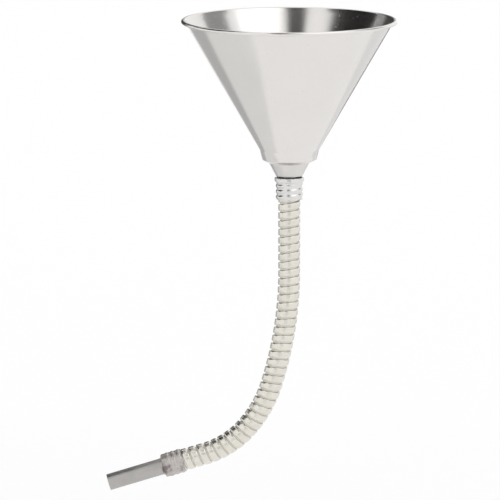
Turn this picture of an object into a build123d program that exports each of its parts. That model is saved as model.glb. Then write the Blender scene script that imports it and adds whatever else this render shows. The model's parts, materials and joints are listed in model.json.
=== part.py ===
from build123d import *
from math import cos, radians, sin, tan
import os

os.makedirs("parts", exist_ok=True)

# A sheet-metal funnel with a flexible metal spout.
# Millimetres. The origin is the centre of the mouth, in the plane of the rim wire, and +Z points up
# out of the mouth along the axis of the cone. The spout leaves the cone downwards and bends to -X.
# Profiles of round pieces are drawn in the XZ plane as (radius, height) and revolved about Z.

# ---- driving dimensions: the bowl -------------------------------------------------------------
RIM_DIAMETER = 209.55  # over the rolled edge, 8 1/4 in
SHEET = 0.45  # tinned steel sheet of the bowl and the neck
SOLDER_GAP = 0.05  # room for solder or lacquer where sheets lie on each other
RIM_WIRE_DIAMETER = 2.8
CONE_HALF_ANGLE = 30.1  # degrees, between the axis and the wall
CONE_FOOT_Z = -125.0  # where the steep skirt starts
SKIRT_HALF_ANGLE = 14.0
SKIRT_EDGE_Z = -134.2
ROLL_ANGLE = 292.0  # how far the sheet turns about the rim wire

# ---- the strainer -----------------------------------------------------------------------------
STRAINER_Z = -110.0  # top face of the strainer's flat flange
STRAINER_SHEET = 0.6
STRAINER_FLANGE = 3.2
STRAINER_BAND = 5.0  # height of the band that lies on the cone wall
SCREEN_THICKNESS = 0.5
SCREEN_HOLE = 2.4
SCREEN_HOLE_PITCH = 4.0

# ---- the neck and the upper ferrule -----------------------------------------------------------
NECK_TOP_Z = -127.0
NECK_SHOULDER_Z = -137.6
NECK_SHOULDER_RADIUS = 19.4
NECK_THROAT_Z = -150.3
NECK_THROAT_RADIUS = 12.7
NECK_TUBE_RADIUS = 8.0  # runs inside the hose
NECK_TUBE_TOP_Z = -154.6
NECK_TUBE_END_Z = -170.5
FERRULE_SHEET = 0.5
UPPER_FERRULE_TOP_Z = -151.8
UPPER_FERRULE_END_Z = -173.3
UPPER_FERRULE_LIP_RADIUS = 14.3
UPPER_FERRULE_LIP_HEIGHT = 3.0
UPPER_FERRULE_RADIUS = 13.1
UPPER_FERRULE_WAIST = 1.2  # height of the slope under the lip
UPPER_GROOVE_DEPTH = 0.7
UPPER_GROOVE_PITCH = 5.4
# Where the slopes into and out of a groove start and end, as shares of the pitch below the last ridge.
UPPER_GROOVE_STARTS = 0.35
UPPER_GROOVE_IS_DEEP = 0.6
UPPER_GROOVE_TURNS = 0.75

# ---- the flexible hose ------------------------------------------------------------------------
HOSE_DIAMETER = 21.4
TURN_PITCH = 8.1
STRIP = 0.4  # thickness of the wound strip
FLOOR_RADIUS = 8.5  # middle of the strip at its smaller radius
HOOK_RADIUS = 9.7  # tip of the hook that stands up from the floor
LIP_RADIUS = 9.3  # edge of the lip that turns in from the crown
HALF_FLOOR = 2.0  # from the turn's pivot to the hook, and to the web
CROWN_SLOPE = 0.7  # the crown's edges slope down over this much
FIRST_PIVOT_Z = -174.5  # the first place where the hose bends
# Each stretch of the hose at rest: how many pivots it has, and the bend of them together in degrees.
STRETCHES = [(9, 0.0), (14, 17.8), (6, 23.7), (6, 31.8), (3, 0.0)]
TURNS_IN_A_FERRULE = 2

# ---- the lower ferrule and the tip ------------------------------------------------------------
LOWER_FERRULE_SHEET = 0.4
LOWER_FERRULE_START = 1.6  # from the last pivot to the ferrule's mouth
LOWER_FERRULE_LENGTH = 22.0
LOWER_FERRULE_RADIUS = 11.3
LOWER_RIDGES = 3
LOWER_RIDGE_HEIGHT = 0.45
LOWER_RIDGE_PITCH = 5.6
LOWER_RIDGE_START = 1.2  # from the ferrule's mouth to the first ridge
LOWER_RIDGE_SLOPE = 1.0  # how long each side of a ridge is
LOWER_RIDGE_TOP = 1.4  # how long its flat top is
LOWER_CLOSING_START = 2.4  # from the ferrule's small end to where the wall starts to close in
LOWER_CLOSING_END = 1.2  # and to where it lies on the tube
TIP_DIAMETER = 15.9  # 5/8 in tube
TIP_WALL = 0.7
TIP_EXPOSED = 54.0
TIP_INSIDE = 19.0  # how far the tube reaches up into the hose
TIP_DRAWN_IN = 0.2  # how much smaller its radius is there
TIP_EDGE_ROUND = 0.25

# ---- worked out -------------------------------------------------------------------------------
cone_slope = tan(radians(CONE_HALF_ANGLE))
wire_radius = RIM_WIRE_DIAMETER / 2
roll_radius = wire_radius + SOLDER_GAP + SHEET / 2  # middle of the sheet round the wire
wire_circle = RIM_DIAMETER / 2 - roll_radius - SHEET / 2
crown_radius = HOSE_DIAMETER / 2 - STRIP / 2


def cone_middle(z):
    """Radius of the middle of the cone's sheet at height z."""
    touch = roll_radius / cos(radians(CONE_HALF_ANGLE))
    return wire_circle - touch + z * cone_slope


def skirt_middle(z):
    """Radius of the middle of the skirt's sheet at height z."""
    return cone_middle(CONE_FOOT_Z) - (CONE_FOOT_Z - z) * tan(radians(SKIRT_HALF_ANGLE))


def pivots_and_directions():
    """The hose's pivots, each with the direction of the hose after it, in degrees from straight down."""
    places = []
    x, z, angle = 0.0, FIRST_PIVOT_Z, 0.0
    for count, bend in STRETCHES:
        for _ in range(count):
            angle += bend / count
            places.append((x, z, angle))
            x -= TURN_PITCH * sin(radians(angle))
            z -= TURN_PITCH * cos(radians(angle))
    return places


def along(place, distance):
    """A point at a distance down the hose from a place on its axis."""
    x, z, angle = place
    return (x - distance * sin(radians(angle)), z - distance * cos(radians(angle)), angle)


def profile_plane(place):
    """The plane of a profile on the hose: x is the radius and y is the way down the hose."""
    x, z, angle = place
    across = (cos(radians(angle)), 0, -sin(radians(angle)))
    return Plane(origin=(x, 0, z), x_dir=across, z_dir=(0, 1, 0))


def hose_axis(place):
    """The hose's own axis at a place on it."""
    x, z, angle = place
    return Axis((x, 0, z), (-sin(radians(angle)), 0, -cos(radians(angle))))


def save(piece, name):
    """Label a finished piece and write it as a STEP file of its own."""
    piece.part.label = name
    export_step(piece.part, f"parts/{name}.step")


# ---- cone body: one sheet, with a steep skirt below and an edge rolled over a wire above ---------
foot = (cone_middle(CONE_FOOT_Z), CONE_FOOT_Z)
skirt_edge = (skirt_middle(SKIRT_EDGE_Z), SKIRT_EDGE_Z)
wall_touch = (
    wire_circle - roll_radius * cos(radians(CONE_HALF_ANGLE)),
    roll_radius * sin(radians(CONE_HALF_ANGLE)),
)
with BuildPart() as cone_body:
    with BuildSketch(Plane.XZ):
        with BuildLine():
            Polyline(skirt_edge, foot, wall_touch)
            CenterArc((wire_circle, 0), roll_radius, 180 - CONE_HALF_ANGLE, -ROLL_ANGLE)
            offset(amount=SHEET / 2, side=Side.BOTH, kind=Kind.INTERSECTION)
        make_face()
    revolve(axis=Axis.Z)
save(cone_body, "cone_body")

# ---- rim wire: the ring inside the rolled edge -------------------------------------------------
with BuildPart() as rim_wire:
    with BuildSketch(Plane.XZ):
        with Locations((wire_circle, 0)):
            Circle(wire_radius)
    revolve(axis=Axis.Z)
save(rim_wire, "rim_wire")

# ---- strainer ring: a band on the cone wall with a flat flange under the screen ----------------
band_outside = cone_middle(STRAINER_Z) - SHEET / 2 / cos(radians(CONE_HALF_ANGLE)) - SOLDER_GAP
band_middle = band_outside - STRAINER_SHEET / 2 / cos(radians(CONE_HALF_ANGLE))
band_top = (band_middle + STRAINER_BAND * cone_slope, STRAINER_Z + STRAINER_BAND)
flange_edge = (band_middle - STRAINER_FLANGE, STRAINER_Z)
with BuildPart() as strainer_ring:
    with BuildSketch(Plane.XZ):
        with BuildLine():
            Polyline(flange_edge, (band_middle, STRAINER_Z), band_top)
            offset(amount=STRAINER_SHEET / 2, side=Side.BOTH, kind=Kind.INTERSECTION)
        make_face()
    revolve(axis=Axis.Z)
save(strainer_ring, "strainer_ring")

# ---- strainer screen: a disc soldered on the flange, full of holes -----------------------------
screen_radius = band_middle - STRAINER_SHEET - SCREEN_THICKNESS / 2
screen_floor_z = STRAINER_Z + STRAINER_SHEET / 2 + SOLDER_GAP
holed_radius = band_middle - STRAINER_FLANGE - SCREEN_HOLE_PITCH / 2
half_count = int(holed_radius / SCREEN_HOLE_PITCH)
hole_places = []
for column in range(-half_count, half_count + 1):
    for row in range(-half_count, half_count + 1):
        place = (column * SCREEN_HOLE_PITCH, row * SCREEN_HOLE_PITCH)
        if Vector(*place).length < holed_radius:
            hole_places.append(place)
with BuildPart() as strainer_screen:
    with BuildSketch(Plane.XY.offset(screen_floor_z)):
        Circle(screen_radius)
        with Locations(*hole_places):
            Rectangle(SCREEN_HOLE, SCREEN_HOLE, mode=Mode.SUBTRACT)
    extrude(amount=SCREEN_THICKNESS)
save(strainer_screen, "strainer_screen")

# ---- neck: hangs in the skirt, turns in at a shoulder and runs down inside the hose -------------
inside_skirt = (SHEET + SOLDER_GAP) / cos(radians(SKIRT_HALF_ANGLE))
neck_path = [
    (skirt_middle(NECK_TOP_Z) - inside_skirt, NECK_TOP_Z),
    (skirt_middle(SKIRT_EDGE_Z - SHEET) - inside_skirt, SKIRT_EDGE_Z - SHEET),
    (NECK_SHOULDER_RADIUS, NECK_SHOULDER_Z),
    (NECK_THROAT_RADIUS, NECK_THROAT_Z),
    (NECK_TUBE_RADIUS - SHEET / 2, NECK_TUBE_TOP_Z),
    (NECK_TUBE_RADIUS - SHEET / 2, NECK_TUBE_END_Z),
]
with BuildPart() as neck:
    with BuildSketch(Plane.XZ):
        with BuildLine():
            Polyline(*neck_path)
            offset(amount=SHEET / 2, side=Side.BOTH, kind=Kind.INTERSECTION)
        make_face()
    revolve(axis=Axis.Z)
save(neck, "neck")

# ---- upper ferrule: a lip, a waist and rolled ridges that grip the hose ------------------------
waist_z = UPPER_FERRULE_TOP_Z - UPPER_FERRULE_LIP_HEIGHT
body_radius = UPPER_FERRULE_RADIUS - FERRULE_SHEET / 2
groove_radius = body_radius - UPPER_GROOVE_DEPTH
lip_radius = UPPER_FERRULE_LIP_RADIUS - FERRULE_SHEET / 2
lip_z = UPPER_FERRULE_TOP_Z - FERRULE_SHEET
ridge_z = waist_z - UPPER_FERRULE_WAIST
upper_path = [
    (NECK_THROAT_RADIUS, lip_z),
    (lip_radius, lip_z),
    (lip_radius, waist_z),
    (body_radius, ridge_z),
]
while ridge_z - UPPER_GROOVE_PITCH > UPPER_FERRULE_END_Z:
    upper_path += [
        (body_radius, ridge_z - UPPER_GROOVE_PITCH * UPPER_GROOVE_STARTS),
        (groove_radius, ridge_z - UPPER_GROOVE_PITCH * UPPER_GROOVE_IS_DEEP),
        (groove_radius, ridge_z - UPPER_GROOVE_PITCH * UPPER_GROOVE_TURNS),
        (body_radius, ridge_z - UPPER_GROOVE_PITCH),
    ]
    ridge_z -= UPPER_GROOVE_PITCH
upper_path += [(body_radius, UPPER_FERRULE_END_Z)]
with BuildPart() as upper_ferrule:
    with BuildSketch(Plane.XZ):
        with BuildLine():
            Polyline(*upper_path)
            offset(amount=FERRULE_SHEET / 2, side=Side.BOTH, kind=Kind.INTERSECTION)
        make_face()
    revolve(axis=Axis.Z)
save(upper_ferrule, "upper_ferrule")

# ---- hose turns: one turn of hooked strip each, so that neighbours slide and tilt in each other ---
# The strip runs from its hook over the floor and the web to the crown, and its lip turns in behind
# the next turn's hook.
turn_profile = [
    (HOOK_RADIUS - STRIP / 2, -HALF_FLOOR),
    (FLOOR_RADIUS, -HALF_FLOOR),
    (FLOOR_RADIUS, HALF_FLOOR),
    (crown_radius - CROWN_SLOPE, HALF_FLOOR),
    (crown_radius, HALF_FLOOR + CROWN_SLOPE),
    (crown_radius, TURN_PITCH - CROWN_SLOPE),
    (crown_radius - CROWN_SLOPE, TURN_PITCH),
    (LIP_RADIUS + STRIP / 2, TURN_PITCH),
]
pivots = pivots_and_directions()
# Two turns are inside the upper ferrule, before the first pivot, and two are inside the lower one.
places = []
for hidden in range(TURNS_IN_A_FERRULE):
    places.append((0.0, FIRST_PIVOT_Z + (TURNS_IN_A_FERRULE - hidden) * TURN_PITCH, 0.0))
places += pivots
places.append(along(pivots[-1], TURN_PITCH))
for number, place in enumerate(places, start=1):
    with BuildPart() as hose_turn:
        with BuildSketch(profile_plane(place)):
            with BuildLine():
                Polyline(*turn_profile)
                offset(amount=STRIP / 2, side=Side.BOTH, kind=Kind.INTERSECTION)
            make_face()
        revolve(axis=hose_axis(place))
    save(hose_turn, f"hose_turn_{number:02d}")

# ---- lower ferrule: crimped over the last turns, closed in to the tip's tube ---------------------
end_place = along(pivots[-1], LOWER_FERRULE_START)
sleeve_radius = LOWER_FERRULE_RADIUS - LOWER_FERRULE_SHEET / 2
closed_radius = TIP_DIAMETER / 2 - TIP_DRAWN_IN + SOLDER_GAP + LOWER_FERRULE_SHEET / 2
lower_path = [(sleeve_radius, LOWER_FERRULE_SHEET / 2)]
for ridge in range(LOWER_RIDGES):
    ridge_start = LOWER_RIDGE_START + ridge * LOWER_RIDGE_PITCH
    top_start = ridge_start + LOWER_RIDGE_SLOPE
    top_end = top_start + LOWER_RIDGE_TOP
    lower_path += [
        (sleeve_radius, ridge_start),
        (sleeve_radius + LOWER_RIDGE_HEIGHT, top_start),
        (sleeve_radius + LOWER_RIDGE_HEIGHT, top_end),
        (sleeve_radius, top_end + LOWER_RIDGE_SLOPE),
    ]
lower_path += [
    (sleeve_radius, LOWER_FERRULE_LENGTH - LOWER_CLOSING_START),
    (closed_radius, LOWER_FERRULE_LENGTH - LOWER_CLOSING_END),
    (closed_radius, LOWER_FERRULE_LENGTH - LOWER_FERRULE_SHEET / 2 - SOLDER_GAP),
]
with BuildPart() as lower_ferrule:
    with BuildSketch(profile_plane(end_place)):
        with BuildLine():
            Polyline(*lower_path)
            offset(amount=LOWER_FERRULE_SHEET / 2, side=Side.BOTH, kind=Kind.INTERSECTION)
        make_face()
    revolve(axis=hose_axis(end_place))
save(lower_ferrule, "lower_ferrule")

# ---- spout tip: a plain tube, cut square; its upper end is drawn in to fit inside the hose --------
tube_start = along(end_place, LOWER_FERRULE_LENGTH - TIP_INSIDE)
tube_length = TIP_INSIDE + TIP_EXPOSED
tip_radius = TIP_DIAMETER / 2
bore_radius = tip_radius - TIP_WALL
drawn_radius = tip_radius - TIP_DRAWN_IN
with BuildPart() as spout_tip:
    with BuildSketch(profile_plane(tube_start)):
        with BuildLine():
            Polyline(
                (bore_radius, 0),
                (drawn_radius, 0),
                (drawn_radius, TIP_INSIDE),
                (tip_radius, TIP_INSIDE),
                (tip_radius, tube_length),
                (bore_radius, tube_length),
                close=True,
            )
        make_face()
        fillet(vertices().group_by(Axis.Y)[-1], TIP_EDGE_ROUND)
    revolve(axis=hose_axis(tube_start))
save(spout_tip, "spout_tip")

print("last pivot", pivots[-1])
print("tip end", along(tube_start, tube_length))
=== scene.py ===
# %% [markdown]
# # A funnel with a flexible metal spout
# The funnel is a spun and soldered sheet-metal bowl on a hose of hooked strip, which stays in whatever
# curve it is bent to. The CAD model holds every size and every hinge, so this lesson loads it first and
# takes its places from there. It then skins each piece in mesh code and gives each finish its own nodes.

# %% Load the frame
import json
import math

import bmesh
import bpy
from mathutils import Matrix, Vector, noise


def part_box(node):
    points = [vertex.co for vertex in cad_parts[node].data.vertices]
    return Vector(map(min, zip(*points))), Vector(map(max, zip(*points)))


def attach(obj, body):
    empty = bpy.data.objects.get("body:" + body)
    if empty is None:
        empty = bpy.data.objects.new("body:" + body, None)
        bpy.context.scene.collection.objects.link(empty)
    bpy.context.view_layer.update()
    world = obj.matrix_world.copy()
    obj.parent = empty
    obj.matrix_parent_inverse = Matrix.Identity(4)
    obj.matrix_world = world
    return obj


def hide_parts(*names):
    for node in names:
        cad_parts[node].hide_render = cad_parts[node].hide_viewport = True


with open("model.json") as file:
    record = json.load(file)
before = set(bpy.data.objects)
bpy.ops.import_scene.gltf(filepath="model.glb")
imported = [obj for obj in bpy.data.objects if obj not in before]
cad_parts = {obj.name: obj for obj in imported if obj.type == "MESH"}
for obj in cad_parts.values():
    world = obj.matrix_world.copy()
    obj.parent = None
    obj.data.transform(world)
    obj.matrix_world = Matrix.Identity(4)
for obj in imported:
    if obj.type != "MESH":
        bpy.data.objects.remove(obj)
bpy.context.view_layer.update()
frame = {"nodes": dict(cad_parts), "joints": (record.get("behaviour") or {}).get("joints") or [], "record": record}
MM = 0.001

# %% [markdown]
# The camera comes first, so that every later step can be judged through it. It is a very long
# lens a little above level. From so far away the mouth and the tip are seen at nearly the same slant, so
# their ellipses have nearly one shape.

# %% Camera
VIEW_CENTRE = Vector((-38.0, 0.0, -223.2)) * MM
VIEW_WIDTH = 485.0 * MM
CAMERA_DISTANCE = 20.0
CAMERA_ELEVATION = math.radians(7.6)

camera = bpy.data.objects.new("camera", bpy.data.cameras.new("camera"))
camera.data.lens = camera.data.sensor_width * CAMERA_DISTANCE / VIEW_WIDTH
camera.data.clip_end = 100.0
camera_side = Vector((0.0, -math.cos(CAMERA_ELEVATION), math.sin(CAMERA_ELEVATION)))
camera.location = VIEW_CENTRE + camera_side * CAMERA_DISTANCE
camera.rotation_euler = (math.pi / 2 - CAMERA_ELEVATION, 0.0, 0.0)
bpy.context.collection.objects.link(camera)
bpy.context.scene.camera = camera
print("lens:", round(camera.data.lens), "mm")

# %% [markdown]
# ## Shader maths as Python
# A finish is easier to read as a sum than as a list of nodes. `Signal` wraps one socket, and an operator
# on it adds the Math node. `Finish` owns a material, and its `node` method adds any other node.


# %% Signal and Finish
class Signal:
    """One output socket. Arithmetic on it adds a Math node to its finish."""

    def __init__(self, finish, socket):
        self.finish = finish
        self.socket = socket

    def math(self, operation, first, second):
        return self.finish.node("ShaderNodeMath", {"operation": operation}, {0: first, 1: second})

    def __add__(self, other):
        return self.math("ADD", self, other)

    def __sub__(self, other):
        return self.math("SUBTRACT", self, other)

    def __rsub__(self, other):
        return self.math("SUBTRACT", other, self)

    def __mul__(self, other):
        return self.math("MULTIPLY", self, other)

    __radd__ = __add__
    __rmul__ = __mul__


class Finish:
    """A material with a Principled shader. Constants go straight on the shader's own sockets."""

    def __init__(self, name, **constants):
        self.material = bpy.data.materials.new(name)
        self.material.use_nodes = True
        self.tree = self.material.node_tree
        self.shader = self.tree.nodes["Principled BSDF"]
        for socket, value in constants.items():
            self.shader.inputs[socket.replace("_", " ")].default_value = value

    def node(self, kind, settings=None, inputs=None, output=0):
        """Add a node of a kind, set it up, fill its sockets, and return one of its outputs."""
        made = self.tree.nodes.new(kind)
        for key, value in (settings or {}).items():
            if key == "stops":
                self.set_stops(made.color_ramp, value)
            else:
                setattr(made, key, value)
        for key, value in (inputs or {}).items():
            self.fill(made.inputs[key], value)
        return Signal(self, made.outputs[output])

    def set_stops(self, ramp, stops):
        """Give a colour ramp its stops, each a place and a colour."""
        while len(ramp.elements) < len(stops):
            ramp.elements.new(1.0)
        for element, (place, colour) in zip(ramp.elements, stops):
            element.position = place
            element.color = (*colour, 1.0)

    def fill(self, socket, value):
        if isinstance(value, Signal):
            self.tree.links.new(value.socket, socket)
        else:
            socket.default_value = value

    def feed(self, **signals):
        """Send signals to the shader's sockets."""
        for socket, value in signals.items():
            self.fill(self.shader.inputs[socket.replace("_", " ")], value)

    def place(self):
        """Where a point lies on the piece, in metres, at rest."""
        return self.node("ShaderNodeTexCoord", output="Object")

    def stretched(self, x, y, z):
        """The piece's place with each axis multiplied, so that a round pattern becomes a long one."""
        settings = {"operation": "MULTIPLY"}
        return self.node("ShaderNodeVectorMath", settings, {0: self.place(), 1: (x, y, z)})

    def noise(self, vector, scale, detail=4.0, roughness=0.55):
        inputs = {"Vector": vector, "Scale": scale, "Detail": detail, "Roughness": roughness}
        return self.node("ShaderNodeTexNoise", None, inputs, "Fac")

    def mask(self, signal, low, high):
        """0 below low, 1 above high, and a smooth step between."""
        settings = {"interpolation_type": "SMOOTHSTEP"}
        inputs = {"Value": signal, "From Min": low, "From Max": high}
        return self.node("ShaderNodeMapRange", settings, inputs)

    def blend(self, amount, first, second):
        """A mix of two colours. The Mix node's colour sockets are numbers 6 and 7, and its output 2."""
        inputs = {0: amount, 6: first, 7: second}
        return self.node("ShaderNodeMix", {"data_type": "RGBA"}, inputs, 2)

    def bump(self, height, strength, distance):
        inputs = {"Height": height, "Strength": strength, "Distance": distance}
        self.feed(Normal=self.node("ShaderNodeBump", None, inputs))


def grey(value, warmth=0.0):
    """A grey with a little warmth, as a colour with alpha."""
    return (value * (1 + warmth), value, value * (1 - warmth), 1.0)


# %% [markdown]
# ## Sheet metal in section
# Every piece here is sheet: a thin line with thickness. So each is drawn as the middle line of its sheet,
# with a radius at each fold, and one function gives that line its two sides. Drawing both sides by hand
# would work too, but then each fold has two radii to keep in step.


# %% Folded lines and sheet sections
def folded(points, radii, steps=6):
    """The line through points with its corners rounded, each corner by the radius given for it."""
    line = [Vector(points[0])]
    for before, corner, after, radius in zip(points, points[1:], points[2:], radii):
        corner = Vector(corner)
        back = (Vector(before) - corner).normalized()
        on = (Vector(after) - corner).normalized()
        half = back.angle(on) / 2
        reach = radius / math.tan(half)
        centre = corner + (back + on).normalized() * (radius / math.sin(half))
        start = corner + back * reach - centre
        end = corner + on * reach - centre
        for step in range(steps + 1):
            side = start.lerp(end, step / steps).normalized()
            line.append(centre + side * radius)
    line.append(Vector(points[-1]))
    return line


def sheet_section(line, thickness, end_steps=4):
    """A closed outline: the line's left side, a round end, its right side and another round end."""
    sides = []
    for i, point in enumerate(line):
        run = line[min(i + 1, len(line) - 1)] - line[max(i - 1, 0)]
        sides.append(Vector((-run.y, run.x)).normalized() * (thickness / 2))
    left = [p + s for p, s in zip(line, sides)]
    right = [p - s for p, s in zip(line, sides)]
    far_end = round_end(line[-1], sides[-1], end_steps)
    near_end = round_end(line[0], -sides[0], end_steps)
    return left + far_end + right[::-1] + near_end


def round_end(centre, side, steps):
    """The points strictly between side and its opposite, clockwise about a sheet's edge."""
    points = []
    for step in range(1, steps):
        turn = -math.pi * step / steps
        points.append(centre + Vector((
            side.x * math.cos(turn) - side.y * math.sin(turn),
            side.x * math.sin(turn) + side.y * math.cos(turn),
        )))
    return points


# %% [markdown]
# A skin joins a row of equal loops with quads. Loops that stand all round an axis make a turned piece,
# and loops that walk along a helix make a wound one. The ends of an open skin are closed with flat caps,
# whose edges are marked sharp so that the shading of the sides runs on without a dark line.


# %% Skins
def skin(name, loops, closed, finish, body, stands_for):
    """A mesh through the loops, riding on a body in place of the CAD nodes that it stands for."""
    mesh = bmesh.new()
    rows = [[mesh.verts.new(point) for point in loop] for loop in loops]
    pairs = list(zip(rows, rows[1:])) + ([(rows[-1], rows[0])] if closed else [])
    for row, following in pairs:
        for i in range(len(row)):
            j = (i + 1) % len(row)
            mesh.faces.new((row[i], row[j], following[j], following[i]))
    if not closed:
        for cap in (mesh.faces.new(rows[0][::-1]), mesh.faces.new(rows[-1])):
            for edge in cap.edges:
                edge.smooth = False
    bmesh.ops.recalc_face_normals(mesh, faces=mesh.faces)
    data = bpy.data.meshes.new(name)
    mesh.to_mesh(data)
    mesh.free()
    data.polygons.foreach_set("use_smooth", [True] * len(data.polygons))
    return dress(bpy.data.objects.new(name, data), finish, body, stands_for)


def dress(piece, finish, body, stands_for):
    """Put a new piece in the scene with its finish, its body and the nodes that it replaces."""
    piece.data.materials.append(finish.material)
    bpy.context.collection.objects.link(piece)
    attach(piece, body)
    if stands_for:
        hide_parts(*stands_for)
    return piece


def turned(outline, segments):
    """An outline of (radius, height) at even steps round the Z axis."""
    loops = []
    for step in range(segments):
        angle = 2 * math.pi * step / segments
        loops.append([Vector((p.x * math.cos(angle), p.x * math.sin(angle), p.y)) for p in outline])
    return loops


# %% [markdown]
# ## The bowl
# The bowl is one cone of bright tinned sheet. Its foot tapers more steeply, to grip the neck, and its
# mouth is rolled over a wire. A bowl that was rolled and hammered is never a perfect cone, so its loops
# are pushed in and out by a fraction of a millimetre of slow noise, which makes the reflections on it
# wander as they do on the real one. The push fades out at the rim and the foot, where the wire and the
# neck hold it true.

# %% Tin finish for the bowl
bowl_tin = Finish("bowl_tin", Metallic=1.0)
spun = bowl_tin.noise(bowl_tin.stretched(3.0, 3.0, 260.0), 2.0, detail=3.0)
cloud = bowl_tin.noise(bowl_tin.place(), 14.0, detail=5.0)
speck = bowl_tin.mask(bowl_tin.noise(bowl_tin.place(), 420.0, detail=2.0), 0.66, 0.74)
bowl_tin.feed(
    Base_Color=bowl_tin.blend(cloud, grey(0.71, 0.030), grey(0.79, 0.024)),
    Roughness=0.12 + spun * 0.05 + cloud * 0.07 + speck * 0.12,
)
bowl_tin.bump(spun * 0.6 + cloud * 0.4, 0.05, 0.3 * MM)

# %% Bowl mesh
SHEET = 0.45 * MM
CONE_HALF_ANGLE = math.radians(30.1)
SKIRT_HALF_ANGLE = math.radians(14.0)
CONE_FOOT = -125.0 * MM
ROLL_TURN = math.radians(292.0)
ROLL_GAP = 0.05 * MM
SKIRT_BEND = 6.0 * MM
BOWL_SEGMENTS = 256
CONE_STEPS = 24
ROLL_STEPS = 28
DENT = 0.22 * MM
DENT_SCALE = 22.0
FREE_BELOW_RIM = 25.0 * MM
FREE_ABOVE_FOOT = 20.0 * MM

rim_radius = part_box("cone_body")[1].x
skirt_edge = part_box("cone_body")[0].z + SHEET / 2
wire_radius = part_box("rim_wire")[1].z
roll_radius = wire_radius + ROLL_GAP + SHEET / 2
roll_centre = rim_radius - roll_radius - SHEET / 2


def cone_radius(z):
    """Radius of the middle of the bowl's sheet."""
    return roll_centre - roll_radius / math.cos(CONE_HALF_ANGLE) + z * math.tan(CONE_HALF_ANGLE)


def skirt_radius(z):
    """Radius of the middle of the skirt's sheet."""
    return cone_radius(CONE_FOOT) + (z - CONE_FOOT) * math.tan(SKIRT_HALF_ANGLE)


def rolled_edge(steps):
    """The sheet's middle line round the wire, from the inside of the mouth over to the outside."""
    points = []
    for step in range(steps + 1):
        angle = math.pi - CONE_HALF_ANGLE - ROLL_TURN * step / steps
        points.append(Vector((roll_centre + roll_radius * math.cos(angle), roll_radius * math.sin(angle))))
    return points


def evenly(start, end, steps):
    """Points from start up to but not including end."""
    return [start.lerp(end, step / steps) for step in range(steps)]


roll = rolled_edge(ROLL_STEPS)
foot = Vector((cone_radius(CONE_FOOT), CONE_FOOT))
edge = Vector((skirt_radius(skirt_edge), skirt_edge))
skirt_line = folded([edge, foot, foot.lerp(roll[0], 0.1)], [SKIRT_BEND])
bowl_line = skirt_line[:-1] + evenly(skirt_line[-1], roll[0], CONE_STEPS) + roll
bowl_loops = turned(sheet_section(bowl_line, SHEET), BOWL_SEGMENTS)
for loop in bowl_loops:
    for point in loop:
        free = min(1.0, -point.z / FREE_BELOW_RIM, (point.z - CONE_FOOT) / FREE_ABOVE_FOOT)
        if free > 0:
            wave = noise.noise(Vector((point.x, point.y, point.z * 0.6)) * DENT_SCALE)
            point *= 1 + wave * DENT * free / point.length
bowl = skin("bowl", bowl_loops, True, bowl_tin, "funnel", ["cone_body"])
print("bowl faces:", len(bowl.data.polygons))

# %% [markdown]
# ## The neck
# The neck is a second piece of spun sheet. Its top sits inside the skirt, it turns in at a shoulder, and
# its tube runs down inside the hose, so that liquid always falls from a narrower piece into a wider one.

# %% Neck
neck_tin = Finish("neck_tin", Metallic=1.0)
neck_rings = neck_tin.noise(neck_tin.stretched(6.0, 6.0, 420.0), 2.0, detail=3.0)
neck_cloud = neck_tin.noise(neck_tin.place(), 60.0)
neck_tin.feed(
    Base_Color=neck_tin.blend(neck_cloud, grey(0.60, 0.030), grey(0.74, 0.024)),
    Roughness=0.24 + neck_rings * 0.08 + neck_cloud * 0.08,
)
neck_tin.bump(neck_rings, 0.08, 0.2 * MM)

NECK_SHOULDER = Vector((19.4, -137.6)) * MM
NECK_THROAT = Vector((12.7, -150.3)) * MM
NECK_TUBE_TOP = -154.6 * MM
NECK_TUBE_RADIUS = 7.775 * MM
NECK_BENDS = [1.2 * MM, 2.5 * MM, 2.0 * MM, 1.5 * MM]
NECK_SEGMENTS = 128

neck_low, neck_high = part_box("neck")
inside_skirt = (SHEET + ROLL_GAP) / math.cos(SKIRT_HALF_ANGLE)
neck_top = neck_high.z - SHEET / 2
neck_corners = [
    Vector((skirt_radius(neck_top) - inside_skirt, neck_top)),
    Vector((skirt_radius(skirt_edge - SHEET) - inside_skirt, skirt_edge - SHEET)),
    NECK_SHOULDER,
    NECK_THROAT,
    Vector((NECK_TUBE_RADIUS, NECK_TUBE_TOP)),
    Vector((NECK_TUBE_RADIUS, neck_low.z + SHEET / 2)),
]
neck_line = folded(neck_corners, NECK_BENDS, steps=8)
neck = skin(
    "neck_piece", turned(sheet_section(neck_line, SHEET), NECK_SEGMENTS),
    True, neck_tin, "funnel", ["neck"],
)
print("neck faces:", len(neck.data.polygons))

# %% [markdown]
# ## The upper ferrule
# The ferrule is a thin sleeve with a lip round the throat of the neck. Below the lip its wall is rolled
# into a coarse right-handed thread, which bites on the hose. A thread isn't a turned shape, because it
# climbs as it goes round. So each upright section gets the same wave, a little higher than the one
# before it, and after one round it has climbed one pitch and meets itself.

# %% Upper ferrule
ferrule_plate = Finish("ferrule_plate", Metallic=1.0)
plate_cloud = ferrule_plate.noise(ferrule_plate.place(), 180.0)
plate_scuff = ferrule_plate.noise(ferrule_plate.stretched(40.0, 40.0, 300.0), 6.0)
ferrule_plate.feed(
    Base_Color=ferrule_plate.blend(plate_cloud, grey(0.66, 0.012), grey(0.80, 0.008)),
    Roughness=0.16 + plate_scuff * 0.16,
)
ferrule_plate.bump(plate_cloud, 0.10, 0.2 * MM)

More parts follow.
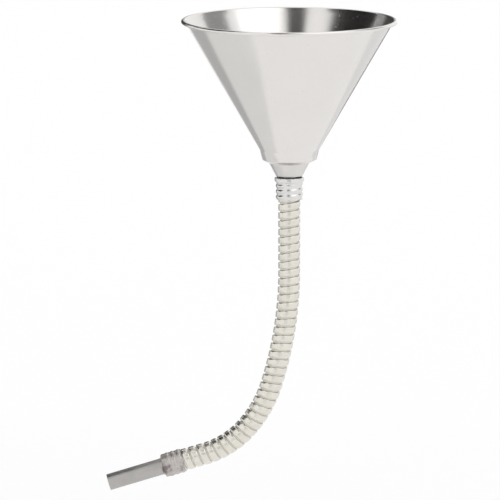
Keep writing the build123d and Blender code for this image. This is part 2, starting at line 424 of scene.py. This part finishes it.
FERRULE_SHEET = 0.5 * MM
LIP_HEIGHT = 3.0 * MM
FERRULE_RADIUS = 12.85 * MM
THREAD_DEPTH = 0.95 * MM
THREAD_PITCH = 5.4 * MM
THREAD_START = 1.4 * MM
THREAD_RUN_IN = 1.5 * MM
WAIST_TAPER = 1.2 * MM
WALL_START = 2.6 * MM
LIP_BENDS = [0.7 * MM, 0.5 * MM, 0.5 * MM]
FERRULE_SEGMENTS = 96

ferrule_low, ferrule_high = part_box("upper_ferrule")
lip_radius = ferrule_high.x - FERRULE_SHEET / 2
lip_top = ferrule_high.z - FERRULE_SHEET / 2
waist = lip_top - LIP_HEIGHT


def thread_depth(z, angle):
    """How far the wall is rolled in at a height, at an angle round the ferrule."""
    turn = (z / THREAD_PITCH - angle / (2 * math.pi)) * 2 * math.pi
    fade = min(1.0, max(0.0, (waist - THREAD_START - z) / THREAD_RUN_IN))
    return THREAD_DEPTH * fade * (0.5 + 0.5 * math.sin(turn))


def ferrule_line(angle, steps=64):
    """The ferrule's middle line in the upright plane at an angle."""
    top = folded([
        Vector((NECK_THROAT.x, lip_top)),
        Vector((lip_radius, lip_top)),
        Vector((lip_radius, waist)),
        Vector((FERRULE_RADIUS, waist - WAIST_TAPER)),
        Vector((FERRULE_RADIUS, waist - WALL_START)),
    ], LIP_BENDS)
    wall_end = Vector((FERRULE_RADIUS, ferrule_low.z + FERRULE_SHEET / 2))
    wall = evenly(top[-1], wall_end, steps) + [wall_end]
    return top[:-1] + [Vector((p.x - thread_depth(p.y, angle), p.y)) for p in wall]


ferrule_loops = []
for step in range(FERRULE_SEGMENTS):
    angle = 2 * math.pi * step / FERRULE_SEGMENTS
    section = sheet_section(ferrule_line(angle), FERRULE_SHEET)
    ferrule_loops.append([Vector((p.x * math.cos(angle), p.x * math.sin(angle), p.y)) for p in section])
upper_ferrule = skin(
    "threaded_ferrule", ferrule_loops, True, ferrule_plate, "funnel", ["upper_ferrule"]
)
print("upper ferrule faces:", len(upper_ferrule.data.polygons))

# %% [markdown]
# ## The hose
# The hose is one strip of steel, folded to a flat S and wound so that each turn hooks into the last. The
# turns slide and tilt in each other, and friction keeps them where they are put. The CAD model hinges it
# turn by turn, so here the strip is cut once a turn and each length rides on its own turn.
#
# Two things make the cuts vanish. The strip is wound along one smooth line through all the hinges, so
# the lengths meet exactly at rest. And each cut lies on its own hinge's axis, where nothing moves when
# the hinge turns: at the back for a hinge that bends the hose forwards, and at the side for one that
# bends it across.

# %% Strip finish
strip_steel = Finish("strip_steel", Metallic=1.0)
recess = strip_steel.node("ShaderNodeAttribute", {"attribute_name": "recess"}, None, "Fac")
strip_cloud = strip_steel.noise(strip_steel.place(), 110.0, detail=5.0)
strip_speck = strip_steel.mask(strip_steel.noise(strip_steel.place(), 900.0, detail=2.0), 0.60, 0.72)
clean_strip = strip_steel.blend(strip_cloud, (0.66, 0.63, 0.56, 1.0), (0.86, 0.84, 0.78, 1.0))
# Painted shade: the recess attribute blends the grooves between the turns towards one flat, duller colour and
# makes them rougher. This stands in for the shade that falls in them.
groove_shade = strip_steel.mask(recess + strip_cloud * 0.3 - 0.15, 0.15, 0.9)
strip_steel.feed(
    Base_Color=strip_steel.blend(groove_shade, clean_strip, (0.76, 0.73, 0.66, 1.0)),
    Roughness=0.20 + strip_cloud * 0.12 + strip_speck * 0.10 + groove_shade * 0.2,
)
strip_steel.bump(strip_cloud * 0.5 + strip_speck * 0.5, 0.12, 0.15 * MM)

# %% The line of the hose
joint_of = {joint["child"]: joint for joint in frame["joints"]}
hose_nodes = sorted(name for name in frame["nodes"] if name.startswith("hose_turn_"))
nodes_of_body = frame["record"]["behaviour"]["bodies"]
body_of_node = {node: body for body, nodes in nodes_of_body.items() for node in nodes}
tip_mount = next(m for m in frame["record"]["mounts"] if m["name"] == "tip_outside")
tip_direction = Vector(tip_mount["axis"])
ACROSS = Vector((0.0, 1.0, 0.0))
DOWN = Vector((0.0, 0.0, -1.0))

knots = [Vector(joint["pos_m"]) for joint in frame["joints"]]
pitch = (knots[1] - knots[0]).length
hidden_turns = [body_of_node[name] for name in hose_nodes].count("funnel")
knots = [knots[0] - DOWN * pitch * n for n in range(hidden_turns + 1, 0, -1)] + knots
knots += [knots[-1] + tip_direction * pitch * n for n in range(1, 5)]


def hose_line(place):
    """A point on the hose's smooth middle line, and the way down it. Whole places are the knots."""
    i = min(max(int(math.floor(place)), 1), len(knots) - 3)
    share = place - i
    before, start, end, after = knots[i - 1:i + 3]
    lean = ((end - before) / 2, (after - start) / 2)
    s2 = share * share
    s3 = s2 * share
    point = start * (2 * s3 - 3 * s2 + 1) + lean[0] * (s3 - 2 * s2 + share)
    point += end * (3 * s2 - 2 * s3) + lean[1] * (s3 - s2)
    way = start * (6 * s2 - 6 * share) + lean[0] * (3 * s2 - 4 * share + 1)
    way += end * (6 * share - 6 * s2) + lean[1] * (3 * s2 - 2 * share)
    return point, way.normalized()


# %% Wind the strip
STRIP = 0.4 * MM
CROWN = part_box(hose_nodes[0])[1].x - STRIP / 2
FLOOR = 8.5 * MM
HOOK_TIP = 9.5 * MM
LIP_EDGE = 9.2 * MM
HALF_FLOOR = 2.0 * MM
STEPS_A_TURN = 72
CROWN_DROP = 0.35 * MM
CROWN_RUN = 1.3 * MM
STRIP_BENDS = [0.5 * MM, 0.5 * MM, 0.6 * MM, 1.6 * MM, 1.6 * MM, 0.4 * MM]
STRIP_WOBBLE = 0.05 * MM

strip_line = folded([
    Vector((HOOK_TIP, -HALF_FLOOR)),
    Vector((FLOOR, -HALF_FLOOR)),
    Vector((FLOOR, HALF_FLOOR)),
    Vector((CROWN - CROWN_DROP, HALF_FLOOR)),
    Vector((CROWN, HALF_FLOOR + CROWN_RUN)),
    Vector((CROWN, pitch - CROWN_RUN)),
    Vector((CROWN - CROWN_DROP, pitch)),
    Vector((LIP_EDGE, pitch)),
], STRIP_BENDS, steps=4)
strip_outline = sheet_section(strip_line, STRIP, end_steps=3)


def strip_loop(turn):
    """The strip's section at a place along the winding, counted in turns."""
    angle = 2 * math.pi * turn
    loop = []
    for p in strip_outline:
        centre, way = hose_line(turn - 0.5 + p.y / pitch)
        side = way.cross(ACROSS)
        wave = noise.noise(Vector((math.cos(angle), math.sin(angle), turn * 0.7)) * 1.7)
        radius = p.x + (wave * STRIP_WOBBLE if p.x > FLOOR + MM else 0.0)
        loop.append(centre + (ACROSS * math.cos(angle) + side * math.sin(angle)) * radius)
    return loop


def cut_place(number):
    """Where the winding is cut above turn number: on its hinge's axis."""
    body = body_of_node[hose_nodes[number]] if number < len(hose_nodes) else None
    starts_body = body in joint_of and body != body_of_node[hose_nodes[number - 1]]
    sideways = starts_body and abs(joint_of[body]["axis"][1]) < 0.5
    return number + 1 - (0.25 if sideways else 0.0)


for number, node in enumerate(hose_nodes):
    start, end = cut_place(number), cut_place(number + 1)
    steps = round((end - start) * STEPS_A_TURN)
    loops = [strip_loop(start + (end - start) * step / steps) for step in range(steps + 1)]
    turn = skin(node + "_strip", loops, False, strip_steel, body_of_node[node], [node])
    # How deep each point of the strip lies below the crown. This feeds the painted groove shade in strip_steel.
    recess_values = [min(1.0, max(0.0, (CROWN - p.x) / (CROWN - FLOOR))) for p in strip_outline]
    attribute = turn.data.attributes.new("recess", "FLOAT", "POINT")
    attribute.data.foreach_set("value", recess_values * len(loops))
print("strip lengths:", len(hose_nodes), "with", len(strip_outline) * (STEPS_A_TURN + 1), "points a turn")

# %% [markdown]
# ## The lower ferrule and the tip
# The spout ends in a plain tube. A crimped sleeve joins it to the hose, and its brazing heat has stained
# the sleeve brown and purple-black. Both are turned shapes about the tip's own axis, which the frame
# gives as a mount, so they are made along that axis and need no turning into place afterwards.

# %% Pieces about the tip's axis
tip_side = tip_direction.cross(ACROSS)
TIP_SEGMENTS = 96


def turned_on_tip(origin, outline, segments):
    """An outline of (radius, distance down the axis) at even steps round the tip's axis."""
    loops = []
    for step in range(segments):
        angle = 2 * math.pi * step / segments
        out = ACROSS * math.cos(angle) + tip_side * math.sin(angle)
        loops.append([origin + tip_direction * p.y + out * p.x for p in outline])
    return loops


# %% Lower ferrule
crimp_steel = Finish("crimp_steel", Metallic=0.95)
heat = crimp_steel.noise(crimp_steel.place(), 95.0, detail=4.0)
stain = crimp_steel.mask(heat, 0.50, 0.66)
crimp_grain = crimp_steel.noise(crimp_steel.place(), 420.0)
crimp_colour = crimp_steel.blend(crimp_grain, (0.45, 0.42, 0.40, 1.0), (0.62, 0.59, 0.56, 1.0))
crimp_steel.feed(
    Base_Color=crimp_steel.blend(stain * 0.8, crimp_colour, (0.16, 0.12, 0.14, 1.0)),
    Roughness=0.26 + crimp_grain * 0.16 + stain * 0.14,
)
crimp_steel.bump(crimp_grain, 0.15, 0.2 * MM)

CRIMP_SHEET = 0.4 * MM
CRIMP_LENGTH = 22.0 * MM
CRIMP_RADIUS = 11.1 * MM
CRIMP_HEIGHT = 0.45 * MM
CRIMP_PITCH = 5.6 * MM
CRIMPS = 3
CRIMP_OUTLINE = ((0.0, 0.0), (CRIMP_HEIGHT, 1.0 * MM), (CRIMP_HEIGHT, 2.4 * MM), (0.0, 3.4 * MM))
FIRST_CRIMP = 1.2 * MM
CRIMP_BEND = 0.5 * MM
SHOULDER_START = 2.4 * MM
SHOULDER_END = 1.2 * MM

tip_length = tip_mount["dims"]["length_mm"] * MM
tip_radius = tip_mount["dims"]["r_mm"] * MM
tip_middle = Vector(tip_mount["pos_m"])
tip_start = tip_middle - tip_direction * (tip_length / 2)
crimp_start = tip_start - tip_direction * CRIMP_LENGTH
crimp_corners = [Vector((CRIMP_RADIUS, CRIMP_SHEET / 2))]
for crimp in range(CRIMPS):
    foot_of_crimp = FIRST_CRIMP + crimp * CRIMP_PITCH
    for rise, distance in CRIMP_OUTLINE:
        crimp_corners.append(Vector((CRIMP_RADIUS + rise, foot_of_crimp + distance)))
crimp_corners += [
    Vector((CRIMP_RADIUS, CRIMP_LENGTH - SHOULDER_START)),
    Vector((tip_radius + CRIMP_SHEET / 2, CRIMP_LENGTH - SHOULDER_END)),
    Vector((tip_radius + CRIMP_SHEET / 2, CRIMP_LENGTH - CRIMP_SHEET / 2)),
]
crimp_bends = [0.3 * MM] + [CRIMP_BEND] * (len(CRIMP_OUTLINE) * CRIMPS + 1) + [0.4 * MM]
crimp_line = folded(crimp_corners, crimp_bends, steps=4)
lower_ferrule = skin(
    "crimped_ferrule",
    turned_on_tip(crimp_start, sheet_section(crimp_line, CRIMP_SHEET), TIP_SEGMENTS),
    True, crimp_steel, "spout_end", ["lower_ferrule"],
)

# %% Spout tip
tube_steel = Finish("tube_steel", Metallic=1.0)
drawn = tube_steel.noise(tube_steel.stretched(30.0, 240.0, 240.0), 4.0, detail=3.0)
tube_cloud = tube_steel.noise(tube_steel.place(), 70.0, detail=5.0)
tube_steel.feed(
    Base_Color=tube_steel.blend(tube_cloud, grey(0.38, 0.035), grey(0.50, 0.03)),
    Roughness=0.28 + drawn * 0.12 + tube_cloud * 0.10,
)
tube_steel.bump(drawn, 0.10, 0.15 * MM)

TIP_WALL = 0.7 * MM
TIP_INSIDE = 19.0 * MM
TIP_DRAWN_IN = 0.2 * MM
DRAW_START = -0.8 * MM
DRAW_END = 0.4 * MM
DRAW_BEND = 1.0 * MM
tip_centre = tip_radius - TIP_WALL / 2
tip_line = folded([
    Vector((tip_centre - TIP_DRAWN_IN, -TIP_INSIDE + TIP_WALL / 2)),
    Vector((tip_centre - TIP_DRAWN_IN, DRAW_START)),
    Vector((tip_centre, DRAW_END)),
    Vector((tip_centre, tip_length - TIP_WALL / 2)),
], [DRAW_BEND, DRAW_BEND])
spout_tip = skin(
    "tip_tube", turned_on_tip(tip_start, sheet_section(tip_line, TIP_WALL), TIP_SEGMENTS),
    True, tube_steel, "spout_end", ["spout_tip"],
)
print("tip radius and length in mm:", round(tip_radius / MM, 2), round(tip_length / MM, 2))

# %% [markdown]
# ## The strainer
# A brass wire screen is soldered on a flanged ring near the foot of the bowl. Holes in a disc would do from
# far off, but woven wire catches the light at every crossing, so each wire is its own thin tube that
# goes over one wire and under the next.

# %% Strainer screen
SCREEN_PITCH = 2.0 * MM
WIRE = 0.21 * MM
WIRE_SIDES = 6
screen_low, screen_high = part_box("strainer_screen")
screen_radius = screen_high.x - WIRE
screen_middle = (screen_low.z + screen_high.z) / 2


def woven_wire(mesh, offset, parity, across):
    """One wire of the screen: a six-sided tube along X, or along Y if across is set."""
    half = math.sqrt(max(0.0, screen_radius ** 2 - offset ** 2))
    count = max(2, int(4 * half / SCREEN_PITCH))
    rings = []
    for step in range(count + 1):
        along = -half + 2 * half * step / count
        lift = math.cos(math.pi * (along / SCREEN_PITCH + parity)) * WIRE * 0.55
        ring = []
        for corner in range(WIRE_SIDES):
            angle = 2 * math.pi * corner / WIRE_SIDES
            sideways = offset + WIRE / 2 * math.cos(angle)
            height = screen_middle + lift + WIRE / 2 * math.sin(angle)
            spot = (sideways, along, height) if across else (along, sideways, height)
            ring.append(mesh.verts.new(spot))
        rings.append(ring)
    for ring, following in zip(rings, rings[1:]):
        for i in range(WIRE_SIDES):
            j = (i + 1) % WIRE_SIDES
            mesh.faces.new((ring[i], ring[j], following[j], following[i]))
    mesh.faces.new(rings[0][::-1])
    mesh.faces.new(rings[-1])


screen_brass = Finish("screen_brass", Metallic=1.0)
tarnish = screen_brass.noise(screen_brass.place(), 120.0)
screen_brass.feed(
    Base_Color=screen_brass.blend(tarnish, (0.50, 0.36, 0.16, 1.0), (0.78, 0.62, 0.32, 1.0)),
    Roughness=0.28 + tarnish * 0.2,
)
weave = bmesh.new()
wire_count = int(screen_radius / SCREEN_PITCH)
for number in range(-wire_count, wire_count + 1):
    woven_wire(weave, number * SCREEN_PITCH, number % 2, False)
    woven_wire(weave, number * SCREEN_PITCH, (number + 1) % 2, True)
bmesh.ops.recalc_face_normals(weave, faces=weave.faces)
weave_data = bpy.data.meshes.new("woven_screen")
weave.to_mesh(weave_data)
weave.free()
weave_data.polygons.foreach_set("use_smooth", [True] * len(weave_data.polygons))
screen = dress(
    bpy.data.objects.new("woven_screen", weave_data),
    screen_brass, "funnel", ["strainer_screen"],
)
print("screen wires:", 2 * (2 * wire_count + 1))

# %% Finishes for the CAD nodes that stay
ring_tin = Finish("ring_tin", Metallic=1.0)
ring_cloud = ring_tin.noise(ring_tin.place(), 150.0)
ring_tin.feed(
    Base_Color=ring_tin.blend(ring_cloud, grey(0.60, 0.02), grey(0.76, 0.01)),
    Roughness=0.28 + ring_cloud * 0.15,
)
ring_tin.bump(ring_cloud, 0.1, 0.2 * MM)
for name in ("strainer_ring", "rim_wire"):
    slots = frame["nodes"][name].data.materials
    slots.clear()
    slots.append(ring_tin.material)
    print(name, "keeps its CAD shape")

# %% [markdown]
# ## The studio
# Bright metal shows what stands round it more than it shows itself. A white room lights everything, and
# a few cards give the reflections their edges: bright ones for the clean bands, and dark ones for the
# shadows in the bowl. The cards are seen only in reflections.

# %% Floor, room and cards
FLOOR_Z = -0.62
FLOOR_REACH = 40.0
floor_mesh = bpy.data.meshes.new("floor")
floor_sides = ((-1, -1), (1, -1), (1, 1), (-1, 1))
floor_corners = [(x * FLOOR_REACH, y * FLOOR_REACH, FLOOR_Z) for x, y in floor_sides]
floor_mesh.from_pydata(floor_corners, [], [(0, 1, 2, 3)])
floor = bpy.data.objects.new("floor", floor_mesh)
floor_paint = Finish("floor_paint", Roughness=0.9, Base_Color=grey(0.96))
floor_mesh.materials.append(floor_paint.material)
bpy.context.collection.objects.link(floor)

room = bpy.data.worlds.new("room")
room.use_nodes = True
room.node_tree.nodes["Background"].inputs["Color"].default_value = (1.0, 1.0, 1.0, 1.0)
room.node_tree.nodes["Background"].inputs["Strength"].default_value = 1.04
bpy.context.scene.world = room
bpy.context.scene.view_settings.view_transform = "Standard"


def card(name, azimuth, elevation, wide, tall, brightness, distance=1.6):
    """A flat card seen only in reflections. Azimuth 0 is behind the funnel (+Y) and 90 is to its right."""
    turn, rise = math.radians(azimuth), math.radians(elevation)
    away = Vector((math.sin(turn) * math.cos(rise), math.cos(turn) * math.cos(rise), math.sin(rise)))
    mesh = bpy.data.meshes.new(name)
    w, h = wide / 2, tall / 2
    mesh.from_pydata([(-w, -h, 0), (w, -h, 0), (w, h, 0), (-w, h, 0)], [], [(0, 1, 2, 3)])
    made = bpy.data.objects.new(name, mesh)
    made.location = away * distance
    made.rotation_euler = away.to_track_quat("Z", "Y").to_euler()
    made.visible_camera = False
    made.visible_diffuse = False
    made.visible_shadow = False
    paint = bpy.data.materials.new(name)
    paint.use_nodes = True
    paint.node_tree.nodes.clear()
    glow = paint.node_tree.nodes.new("ShaderNodeEmission")
    out = paint.node_tree.nodes.new("ShaderNodeOutputMaterial")
    glow.inputs["Color"].default_value = (1.0, 1.0, 1.0, 1.0)
    glow.inputs["Strength"].default_value = brightness
    paint.node_tree.links.new(glow.outputs[0], out.inputs["Surface"])
    mesh.materials.append(paint)
    bpy.context.collection.objects.link(made)
    return made


card("dark_left", -77, 38, 1.5, 1.5, 0.02)
card("grey_right", 68, 31, 0.8, 1.0, 0.30)
card("grey_top", 192, 54, 0.5, 1.6, 0.05)
card("white_right", 130, 48, 1.2, 1.1, 1.5)
card("mid_left", -41, 15, 0.35, 0.8, 0.33, distance=1.5)
card("dark_behind", -22, 12, 0.85, 1.2, 0.05)
card("grey_behind", 0, 8, 0.4, 0.5, 0.45)
card("lower_left", -42, -29, 0.56, 0.46, 0.50, distance=0.8)
card("pale_left", -84, -46, 0.5, 0.4, 0.82, distance=0.62)
card("line_left", -28, -6, 0.7, 0.34, 0.10, distance=1.5)
card("line_right", 11, -14, 0.25, 0.22, 0.05, distance=1.0)
card("pale_right", 42, -28, 0.8, 0.45, 0.84, distance=1.1)
card("grey_front", 180, -4, 0.8, 0.6, 0.55)
